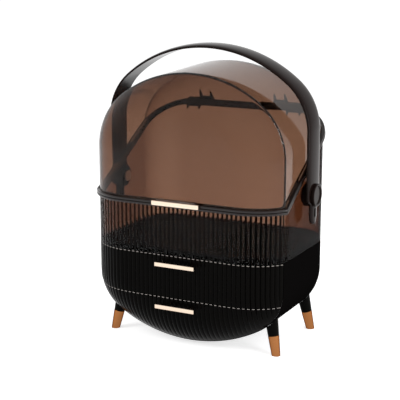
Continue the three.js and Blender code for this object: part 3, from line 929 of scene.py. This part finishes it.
def dome_rings(skin, rise):
    """Rings of the dome from front to back, each starting at the seam, a skin's thickness in."""
    front = front_stations(skin)
    sides = side_stations(skin, front[-1][0])
    # The edge round the front face is rounded a little, so it catches the light as a thin line.
    last, corner = Vector(front[-2]), Vector(front[-1])
    before = corner + (last - corner).normalized() * EDGE_ROUND
    after = corner + Vector((EDGE_ROUND, 0))
    pulls = (before + corner * 2) / 3, (after + corner * 2) / 3
    bend = interpolate_bezier(before, *pulls, after, EDGE_STEPS)
    front = front[:-1] + [(p.x, p.y) for p in bend]
    rings = []
    for y, inset in front + sides + back_stations(skin):
        half = end_points(ARCH, arch_tip(y), inset, seam_z(y, skin) + rise)
        rings.append(both_halves(half, y))
    return rings


def seam_loop(skin, rise):
    """Closed loop round the organizer, a skin's thickness in and a rise above the seam."""
    front = front_stations(skin)
    stations = front + side_stations(skin, front[-1][0]) + back_stations(skin)
    right = []
    for y, inset in stations:
        z = seam_z(y, skin) + rise
        right.append(Vector((arch_half_width(y, z, inset), y, z)))
    return right + mirrored(right)


def rim_piece(name, section):
    """A rim: its section, in (skin, rise) points, carried round the seam."""
    loops = [seam_loop(skin, rise) for skin, rise in section]
    return mesh_object(name, loft([*loops, loops[0]], caps=False))


def bead_section(low, high, lip_end, groove=()):
    """Section of a rim: a rounded bead that stands proud, and a thin lip inside the wall."""
    edge = settings().rim_round
    lip_out = CLEAR_WALL + SEAT
    lip_in = lip_out + RIM_LIP_WALL
    outside = rounded_corner(-RIM_OUT + edge, low + edge, edge, 3, 2)
    outside += rounded_corner(-RIM_OUT + edge, high - edge, edge, 2, 1)
    if lip_end > high:
        return [(lip_in, low), *outside, (lip_out, high), (lip_out, lip_end), (lip_in, lip_end)]
    lip = [(lip_in, lip_end), (lip_out, lip_end), (lip_out, low)]
    return [*lip, *outside, *groove, (lip_in, high)]


def is_dome_side(face):
    """Whether a face of the dome is on its sides or top, between front and back corner."""
    between = EDGE_Y + CLEAR_WALL < face.center.y < SHOULDER_Y
    return between and abs(face.normal.y) < ACROSS


def build_lid():
    gap = RIM_HEIGHT + SEAT
    wall = shell(dome_rings(0, gap), dome_rings(CLEAR_WALL, gap), False)
    lid = mesh_object("clear_dome", wall)
    dress(lid, smoke_clear, "lid", "smoke_clear", "lid_shell")
    # The sides and top get the lighter tint: a painted sheen.
    add_finish(lid, dome_sheen_clear, is_dome_side)
    rim = rim_piece("lid_rim_bead", bead_section(SEAT / 2, RIM_HEIGHT, RIM_HEIGHT + RIM_LIP))
    dress(rim, rim_black, "lid", "gloss_black", "lid_rim")
    low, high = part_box("lid_pull_bar")
    bar = mesh_object("lid_bar", rounded_box(low, high, settings().bar_round))
    dress(bar, rose_gold, "lid", "rose_gold", "lid_pull_bar")
    low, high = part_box("lid_thumb_tab")
    tab = mesh_object("lid_tab", rounded_box(low, high, (high.z - low.z) * TAB_ROUND_SHARE))
    dress(tab, tab_clear, "lid", "smoke_clear", "lid_thumb_tab")


def tub_loop(columns, skin, share, low, top_rise):
    """Closed loop of the tub's wall at a share of its height; skin None is the reeded outside."""
    inward = skin or 0
    loop = []
    for along, depth in columns:
        x, y = plan_place(along, depth if skin is None else skin)
        loop.append(Vector((x, y, low + (seam_z(y) + top_rise - low) * share)))
    last_y = loop[-1].y
    right = []
    for y, inset in side_stations(inward, max(last_y, EDGE_Y)) + back_stations(inward):
        z = low + (seam_z(y, inward) + top_rise - low) * share
        right.append(Vector((arch_half_width(y, z, inset), y, z)))
    return loop + right + mirrored(right)


def flat_loop(columns, skin, z):
    """Closed level loop of the tub's plan."""
    return [Vector((p.x, p.y, z)) for p in tub_loop(columns, skin, 0, TUB_BOTTOM, 0)]


def is_valley(face):
    """Whether a face of the tub's front lies in a valley between two reeds."""
    place = face.center
    depth = place.y - front_face_y(place.x, CASE_TOP)
    upright = abs(face.normal.z) < ACROSS
    return place.y < EDGE_Y and upright and VALLEY_DEPTH < depth < CLEAR_WALL / 2


def is_plain_wall(face):
    """Whether a face of the tub lies behind the reeded front, or level as the floor does."""
    return face.center.y > EDGE_Y or abs(face.normal.z) > ALONG


def build_tub():
    columns = reed_columns()
    top_rise = -RIM_HEIGHT - SEAT
    shares = [i / WALL_ROWS for i in range(WALL_ROWS + 1)]
    rings = [flat_loop(columns, CLEAR_WALL, z) for z in (TUB_FLOOR_TOP - TUB_FLOOR, TUB_BOTTOM)]
    for share in shares:
        rings.append(tub_loop(columns, None, share, TUB_BOTTOM, top_rise))
    for share in reversed(shares):
        rings.append(tub_loop(columns, CLEAR_WALL, share, TUB_FLOOR_TOP, top_rise))
    tub = mesh_object("reeded_tub", loft(rings))
    carve(tub, pivot_bore())
    dress(tub, tub_clear, "case", "smoke_clear", "vanity_tub")
    # The valleys get the darker colour: painted shade between the reeds.
    add_finish(tub, valley_shade_clear, is_valley)
    add_finish(tub, plain_wall_clear, is_plain_wall)


def build_tub_rim():
    """The tub's rim, grooved along its top, and the dust seal in the groove."""
    near, far = SEAL_INSET - SEAT, SEAL_INSET + SEAL_WIDTH + SEAT
    high = -SEAT / 2
    deep = -SEAL_DEPTH - SEAT
    groove = [(near, high), (near, deep), (far, deep), (far, high)]
    section = bead_section(-RIM_HEIGHT, high, -RIM_HEIGHT - RIM_LIP, groove)
    rim = rim_piece("tub_rim_bead", section)
    dress(rim, rim_black, "case", "gloss_black", "tub_rim")
    ribbon = [(SEAL_INSET, high), (SEAL_INSET, -SEAL_DEPTH)]
    ribbon += [(SEAL_INSET + SEAL_WIDTH, -SEAL_DEPTH), (SEAL_INSET + SEAL_WIDTH, high)]
    seal = rim_piece("seal_ribbon", ribbon)
    dress(seal, seal_rubber, "case", "seal_rubber", "dust_seal")


def belly_ring(y, inset, top):
    """Ring across the belly at y, from a height on one side round to the same on the other."""
    return both_halves(end_points(BELLY, BELLY_BOTTOM, inset, top), y)


def belly_rings(skin, start_y):
    """Rings of the belly from front to back, a skin's thickness in."""
    stations = [(start_y, skin)] + side_stations(skin, start_y) + back_stations(skin)
    return [belly_ring(y, inset, CASE_TOP) for y, inset in stations]


def belly_solid(skin, start_y):
    """A closed body as wide as the belly, reaching above the case, for cutting pieces to it."""
    stations = [(start_y, skin)] + back_stations(skin)
    return loft([belly_ring(y, inset, CUT_TOP) for y, inset in stations])


def build_case():
    wall = shell(belly_rings(0, EDGE_Y), belly_rings(CASE_WALL, EDGE_Y), True)
    case = mesh_object("belly_case", wall)
    dress(case, gloss_black, "case", "gloss_black", "case_shell")


def fascia_heights(start, high):
    """Heights of a column's points, the last but one where the painted glint on its crest begins.
    """
    rise = high - start
    shares = [(row / FASCIA_ROWS) ** FASCIA_CROWDING for row in range(FASCIA_ROWS)]
    heights = [start + rise * share for share in shares]
    return heights + [high - min(GLINT_HEIGHT, rise * GLINT_SHARE), high]


def fascia_columns(low, high):
    """The reeded front and its smooth rear, in columns that start on the belly's outline."""
    back = EDGE_Y - FRONT_SEAM
    front_columns, rear_columns = [], []
    for along, depth in reed_columns():
        x, plan_y = plan_place(along, depth)
        sink = plan_y - front_face_y(x, CASE_TOP)
        outline = belly_bottom_at(x)
        start = max(low, outline)
        if high - start < SEAT:
            continue
        front, rear = [], []
        for z in fascia_heights(start, high):
            fade = max(min((z - outline) / REED_FADE, 1), 0)
            front.append(Vector((x, min(front_face_y(x, z) + sink * fade, back - SEAT), z)))
            rear.append(Vector((x, min(front_face_y(x, z, FASCIA_WALL), back), z)))
        front_columns.append(front)
        rear_columns.append(rear)
    return front_columns, rear_columns


def fascia_body(low, high):
    """A drawer's reeded front between two heights, as one closed wall."""
    bm = bmesh.new()
    front, rear = (
        [[bm.verts.new(point) for point in column] for column in columns]
        for columns in fascia_columns(low, high)
    )
    for skin in (front, rear):
        for left, right in zip(skin, skin[1:]):
            ring_faces(bm, left, right, False)
    for left, right, left_rear, right_rear in zip(front, front[1:], rear, rear[1:]):
        for end in (0, -1):
            bm.faces.new((left[end], right[end], right_rear[end], left_rear[end]))
    for end in (0, -1):
        ring_faces(bm, front[end], rear[end], False)
    return tidy(bm)


def is_glint(face, top):
    """Whether a face of a drawer's front is on a reed's crest, right under the front's top, where
    the glint is painted.
    """
    place = face.center
    crest = place.y - front_face_y(place.x, place.z) < GLINT_DEPTH
    return crest and place.z > top - GLINT_HEIGHT and abs(face.normal.z) < ACROSS


def pull_bar(name, low, high):
    """A bar along the front of the box from low to high, on two posts that reach its back."""
    back = low.y + BAR_DEPTH
    box = rounded_box((-high.x, low.y, low.z), (high.x, back, high.z), settings().bar_round)
    bar = mesh_object(name, box)
    start = (low.y + back) / 2
    profile = [(0, start), (POST_RADIUS, start), (POST_RADIUS, high.y), (0, high.y)]
    for x in (-POST_X, POST_X):
        post = along_y(turned(profile, POST_SIDES), x, (low.z + high.z) / 2)
        carve(bar, post, "UNION")
    return bar


def build_drawers():
    for name in ("upper", "lower"):
        body = f"{name}_drawer"
        low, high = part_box(f"{body}_front")
        front = mesh_object(f"{name}_reeded_front", fascia_body(low.z, high.z))
        dress(front, front_black, body, "smoke_black", f"{body}_front")
        # The crests under the top get a pale colour: a painted glint.
        add_finish(front, painted_edge_glint, lambda face, top=high.z: is_glint(face, top))
        bar = pull_bar(f"{name}_bar", *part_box(f"{body}_bar"))
        dress(bar, rose_gold, body, "rose_gold", f"{body}_bar")


def band_half_width(z, side_part):
    """Half the band's width: full over the lid, narrow at the tails, which end round."""
    if not side_part or z >= BAND_SHOULDER:
        return BAND_HALF
    if z > TAIL_SHOULDER:
        share = (z - TAIL_SHOULDER) / (BAND_SHOULDER - TAIL_SHOULDER)
        return TAIL_HALF + (BAND_HALF - TAIL_HALF) * share * share * (3 - 2 * share)
    rise = z - TAIL_BOTTOM
    if rise < TAIL_HALF:
        least = TAIL_END_SHARE * TAIL_HALF
        return math.sqrt(max(TAIL_HALF**2 - (TAIL_HALF - rise) ** 2, least**2))
    return TAIL_HALF


def band_section():
    """Section of the band, in shares (across, out): flat inside and crowned outside."""
    crown = []
    for i in range(CROWN_STEPS + 1):
        angle = math.pi * i / CROWN_STEPS
        out = CROWN_EDGE + (1 - CROWN_EDGE) * math.sin(angle) ** CROWN_POWER
        crown.append((math.cos(angle), out))
    return [(-1, INNER_EDGE), (-INNER_FLAT, 0), (INNER_FLAT, 0), (1, INNER_EDGE), *crown]


def band_rings():
    """The band's section carried from one tail over the lid to the other."""
    rows = []
    for i in range(TAIL_STEPS + 1):
        angle = math.pi / 2 * i / TAIL_STEPS
        rows.append(TAIL_BOTTOM + TAIL_HALF * (1 - math.cos(angle)))
    for i in range(TAIL_STEPS + 1):
        rows.append(TAIL_SHOULDER + (BAND_SHOULDER - TAIL_SHOULDER) * i / TAIL_STEPS)
    paths = []
    for across, out in band_section():
        arcs = end_points(HANDLE, HANDLE_TOP, -out * BAND_THICK, rows[0])[1:]
        side_x = arcs[0][0]
        half = []
        for x, z, side_part in [(side_x, z, True) for z in rows] + [(*p, False) for p in arcs]:
            half.append(Vector((x, PIVOT.y + across * band_half_width(z, side_part), z)))
        paths.append(half + mirrored(half[:-1]))
    return [[path[i] for path in paths] for i in range(len(paths[0]))]


def build_band():
    band = mesh_object("carry_band", loft(band_rings()))
    low = (-WIDE, PIVOT.y - TAIL_SLOT_HALF, TAIL_SLOT_LOW)
    high = (WIDE, PIVOT.y + TAIL_SLOT_HALF, TAIL_SLOT_HIGH)
    carve(band, rounded_box(low, high, TAIL_SLOT_ROUND))
    lean = Matrix.Rotation(HANDLE_LEAN, 4, "X")
    band.data.transform(Matrix.Translation(PIVOT) @ lean @ Matrix.Translation(-PIVOT))
    carve(band, pivot_bore())
    dress(band, handle_black, "handle", "gloss_black", "handle_band")


def build_pivots():
    """The knobs, each dished inside a raised ring, and the hubs behind them."""
    low, high = (corner.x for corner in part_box("pivot_knob_right"))
    dish = KNOB_RADIUS - KNOB_RING
    slope = KNOB_EDGE / 2
    knob_profile = [(0, low), (KNOB_RADIUS, low)]
    knob_profile += rounded_corner(KNOB_RADIUS - KNOB_EDGE, high - KNOB_EDGE, KNOB_EDGE, 0, 1)
    knob_profile += [(dish + slope, high), (dish, high - slope)]
    knob_profile += [(dish - slope, high - KNOB_DISH), (0, high - KNOB_DISH)]
    low, high = (corner.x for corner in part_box("pivot_hub_right"))
    hub_profile = [(PIVOT_HOLE, low), (HUB_RADIUS, low), (HUB_RADIUS, high), (PIVOT_HOLE, high)]
    hub_profile.append(hub_profile[0])
    for name, side in SIDES:
        knob = mesh_object(f"knob_{name}", along_x(turned(knob_profile), side))
        dress(knob, handle_black, "case", "gloss_black", f"pivot_knob_{name}")
        hub = mesh_object(f"hub_{name}", along_x(turned(hub_profile), side))
        dress(hub, handle_black, "case", "gloss_black", f"pivot_hub_{name}")


def leg_frame(end, side):
    """Matrix that stands a leg on its place, and the leg's length up to the belly."""
    tip_y = LEG_TIP_Y[end]
    tip = Vector((side * LEG_TIP_X, tip_y, 0))
    top_x = LEG_TIP_X - LEG_SPLAY_X
    top = Vector((side * top_x, tip_y - math.copysign(LEG_SPLAY_Y, tip_y), belly_bottom_at(top_x)))
    axis = top - tip
    turn = Vector((0, 0, 1)).rotation_difference(axis.normalized()).to_matrix().to_4x4()
    return Matrix.Translation(tip) @ turn, axis.length


def leg_radius(z, length):
    """Radius of a leg at a distance from its tip: it widens evenly up to the belly."""
    return LEG_TIP_RADIUS + (LEG_TOP_RADIUS - LEG_TIP_RADIUS) * z / length


def leg_profile(length):
    """Outline of a leg's cone, which steps in under the sleeve and runs on into the belly."""
    foot, step = SLEEVE_FLOOR + SEAT, SLEEVE_TOP + SEAT
    high = length + 2 * LEG_TOP_RADIUS
    inset = SLEEVE_WALL + SEAT
    profile = [(0, foot), (leg_radius(foot, length) - inset, foot)]
    profile += [(leg_radius(SLEEVE_TOP, length) - inset, step)]
    profile += [(leg_radius(step, length) - LEG_CHAMFER, step)]
    profile += [(leg_radius(step, length), step + LEG_CHAMFER)]
    return profile + [(leg_radius(high, length), high), (0, high)]


def sleeve_profile(length):
    """Outline of a leg's sleeve: a cup that runs on below the floor, where it is cut level."""
    low = -LEG_TIP_RADIUS
    top_radius = leg_radius(SLEEVE_TOP, length)
    profile = [(0, low), (leg_radius(low, length), low), (top_radius, SLEEVE_TOP)]
    profile += [(top_radius - SLEEVE_WALL, SLEEVE_TOP)]
    profile += [(leg_radius(SLEEVE_FLOOR, length) - SLEEVE_WALL, SLEEVE_FLOOR)]
    return profile + [(0, SLEEVE_FLOOR)]


def build_legs():
    corners = [(end, name, side) for end in ("front", "back") for name, side in SIDES]
    for end, name, side in corners:
        matrix, length = leg_frame(end, side)
        cone = placed(turned(leg_profile(length)), matrix)
        leg = mesh_object(f"leg_cone_{end}_{name}", cone)
        carve(leg, belly_solid(-SEAT, LEG_CUT_START))
        dress(leg, front_black, "case", "smoke_black", f"leg_{end}_{name}")
        cup = placed(turned(sleeve_profile(length)), matrix)
        sleeve = mesh_object(f"plated_sleeve_{end}_{name}", cup)
        above_floor = rounded_box((-WIDE, -WIDE, 0), (WIDE, WIDE, WIDE), SHARP)
        carve(sleeve, above_floor, "INTERSECT")
        # The sleeves get the darker copy of the bars' rose gold: painted shade.
        dress(sleeve, sleeve_shaded_gold, "case", "rose_gold", f"leg_sleeve_{end}_{name}")


# Finish of each slot of the record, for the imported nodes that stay.
CARRIED = {
    "gloss_black": gloss_black,
    "smoke_black": front_black,
    "smoke_clear": smoke_clear,
    "rose_gold": rose_gold,
    "seal_rubber": seal_rubber,
    "steel": screw_steel,
}


def dress_carried_nodes():
    """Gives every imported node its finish: the hidden and small ones are shown as they are."""
    for row in frame["record"]["subparts"]:
        node = frame["nodes"][row["node"]]
        finish = CARRIED[row["material_slot"]]()
        for place in node.material_slots:
            place.material = finish


# Stage

def area_lamp(name, place, size, watts, reflected=False):
    """A lamp aimed at the organizer. None is seen through the plastic, and few are reflected."""
    light = bpy.data.lights.new(name, "AREA")
    light.shape = "RECTANGLE"
    light.size, light.size_y = size
    light.energy = watts
    lamp = bpy.data.objects.new(name, light)
    lamp.location = place
    aim = CAMERA_TARGET - Vector(place)
    lamp.rotation_euler = aim.to_track_quat("-Z", "Y").to_euler()
    lamp.visible_glossy = reflected
    lamp.visible_transmission = False
    bpy.context.scene.collection.objects.link(lamp)


def build_floor():
    bm = bmesh.new()
    bmesh.ops.create_grid(bm, x_segments=2, y_segments=2, size=FLOOR_HALF)
    floor = mesh_object("studio_floor", bm)
    floor.data.materials.append(floor_paint())


def build_air():
    """White air all round, which shows brighter than it lights."""
    world = bpy.data.worlds.new("studio_air")
    world.use_nodes = True
    air = world.node_tree.nodes["Background"]
    air.inputs["Color"].default_value = (1, 1, 1, 1)
    strength = seen_strength(world.node_tree, unseen=0.45, seen=1)
    world.node_tree.links.new(strength.outputs[0], air.inputs["Strength"])
    bpy.context.scene.world = world


def build_lamps():
    """Wide softboxes light the organizer, and two narrow strips draw bright lines on its edges."""
    area_lamp("softbox_left", (-1.1, -1.2, 1.2), (0.7, 1.1), 14)
    area_lamp("softbox_right", (1.5, -0.5, 0.9), (0.4, 1.1), 8)
    area_lamp("softbox_back", (0.3, 1.3, 1.3), (1.0, 0.5), 8)
    area_lamp("strip_right", (1.3, 0.35, 0.45), (0.06, 0.9), 3, reflected=True)
    area_lamp("strip_corner", (1.29, -0.1, 0.8), (0.07, 1.5), 4, reflected=True)


def build_camera():
    scene = bpy.context.scene
    lens = bpy.data.cameras.new("studio_camera")
    lens.sensor_fit = "HORIZONTAL"
    lens.sensor_width = SENSOR_MM
    lens.lens = FOCAL_PIXELS / FRAME_PIXELS * SENSOR_MM
    lens.clip_end = LENS_REACH
    camera = bpy.data.objects.new("studio_camera", lens)
    right = Vector((math.cos(CAMERA_AZIMUTH), math.sin(CAMERA_AZIMUTH), 0))
    ahead = Vector((-right.y, right.x, 0)) * math.cos(CAMERA_ELEVATION)
    back = Vector((-ahead.x, -ahead.y, math.sin(CAMERA_ELEVATION)))
    turn = Matrix((right, back.cross(right), back)).transposed()
    place = Matrix.Translation(CAMERA_TARGET + back * CAMERA_DISTANCE)
    camera.matrix_world = place @ turn.to_4x4()
    scene.collection.objects.link(camera)
    scene.camera = camera
    scene.view_settings.view_transform = "Standard"


def build_stage():
    build_floor()
    build_air()
    build_lamps()
    build_camera()


class ORGANIZER_OT_stage(bpy.types.Operator):
    """Makes the floor, the lamps and the camera"""

    bl_idname = "organizer.stage"
    bl_label = "Stage"

    def execute(self, context):
        build_stage()
        return {"FINISHED"}


class ORGANIZER_OT_carried(bpy.types.Operator):
    """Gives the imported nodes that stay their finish"""

    bl_idname = "organizer.carried"
    bl_label = "Packed nodes"

    def execute(self, context):
        dress_carried_nodes()
        return {"FINISHED"}


class ORGANIZER_OT_case(bpy.types.Operator):
    """Makes the black belly case"""

    bl_idname = "organizer.case"
    bl_label = "Case"

    def execute(self, context):
        build_case()
        return {"FINISHED"}


class ORGANIZER_OT_tub(bpy.types.Operator):
    """Makes the clear reeded tub, its rim and the dust seal"""

    bl_idname = "organizer.tub"
    bl_label = "Tub"

    def execute(self, context):
        build_tub()
        build_tub_rim()
        return {"FINISHED"}


class ORGANIZER_OT_lid(bpy.types.Operator):
    """Makes the clear dome with its rim, bar and thumb tab"""

    bl_idname = "organizer.lid"
    bl_label = "Lid"

    def execute(self, context):
        build_lid()
        return {"FINISHED"}


class ORGANIZER_OT_drawers(bpy.types.Operator):
    """Makes the two reeded drawer fronts and their pull bars"""

    bl_idname = "organizer.drawers"
    bl_label = "Drawers"

    def execute(self, context):
        build_drawers()
        return {"FINISHED"}


class ORGANIZER_OT_handle(bpy.types.Operator):
    """Makes the carry band, its hubs and its knobs"""

    bl_idname = "organizer.handle"
    bl_label = "Handle"

    def execute(self, context):
        build_band()
        build_pivots()
        return {"FINISHED"}


class ORGANIZER_OT_legs(bpy.types.Operator):
    """Makes the four legs and their plated sleeves"""

    bl_idname = "organizer.legs"
    bl_label = "Legs"

    def execute(self, context):
        build_legs()
        return {"FINISHED"}


OPERATORS = (
    ORGANIZER_OT_stage,
    ORGANIZER_OT_carried,
    ORGANIZER_OT_case,
    ORGANIZER_OT_tub,
    ORGANIZER_OT_lid,
    ORGANIZER_OT_drawers,
    ORGANIZER_OT_handle,
    ORGANIZER_OT_legs,
)


class ORGANIZER_PT_panel(bpy.types.Panel):
    """Lists the organizer's settings and the operators that make its pieces"""

    bl_idname = "ORGANIZER_PT_panel"
    bl_label = "Makeup Organizer"
    bl_space_type = "VIEW_3D"
    bl_region_type = "UI"
    bl_category = "Organizer"

    def draw(self, context):
        for name in OrganizerSettings.__annotations__:
            self.layout.prop(context.scene.organizer, name)
        for operator in OPERATORS:
            self.layout.operator(operator.bl_idname)


CLASSES = (OrganizerSettings, *OPERATORS, ORGANIZER_PT_panel)


def register():
    for cls in CLASSES:
        bpy.utils.register_class(cls)
    bpy.types.Scene.organizer = PointerProperty(type=OrganizerSettings)


def unregister():
    del bpy.types.Scene.organizer
    for cls in reversed(CLASSES):
        bpy.utils.unregister_class(cls)


def main():
    register()
    for operator in OPERATORS:
        group, name = operator.bl_idname.split(".")
        getattr(getattr(bpy.ops, group), name)()


if __name__ == "__main__":
    main()
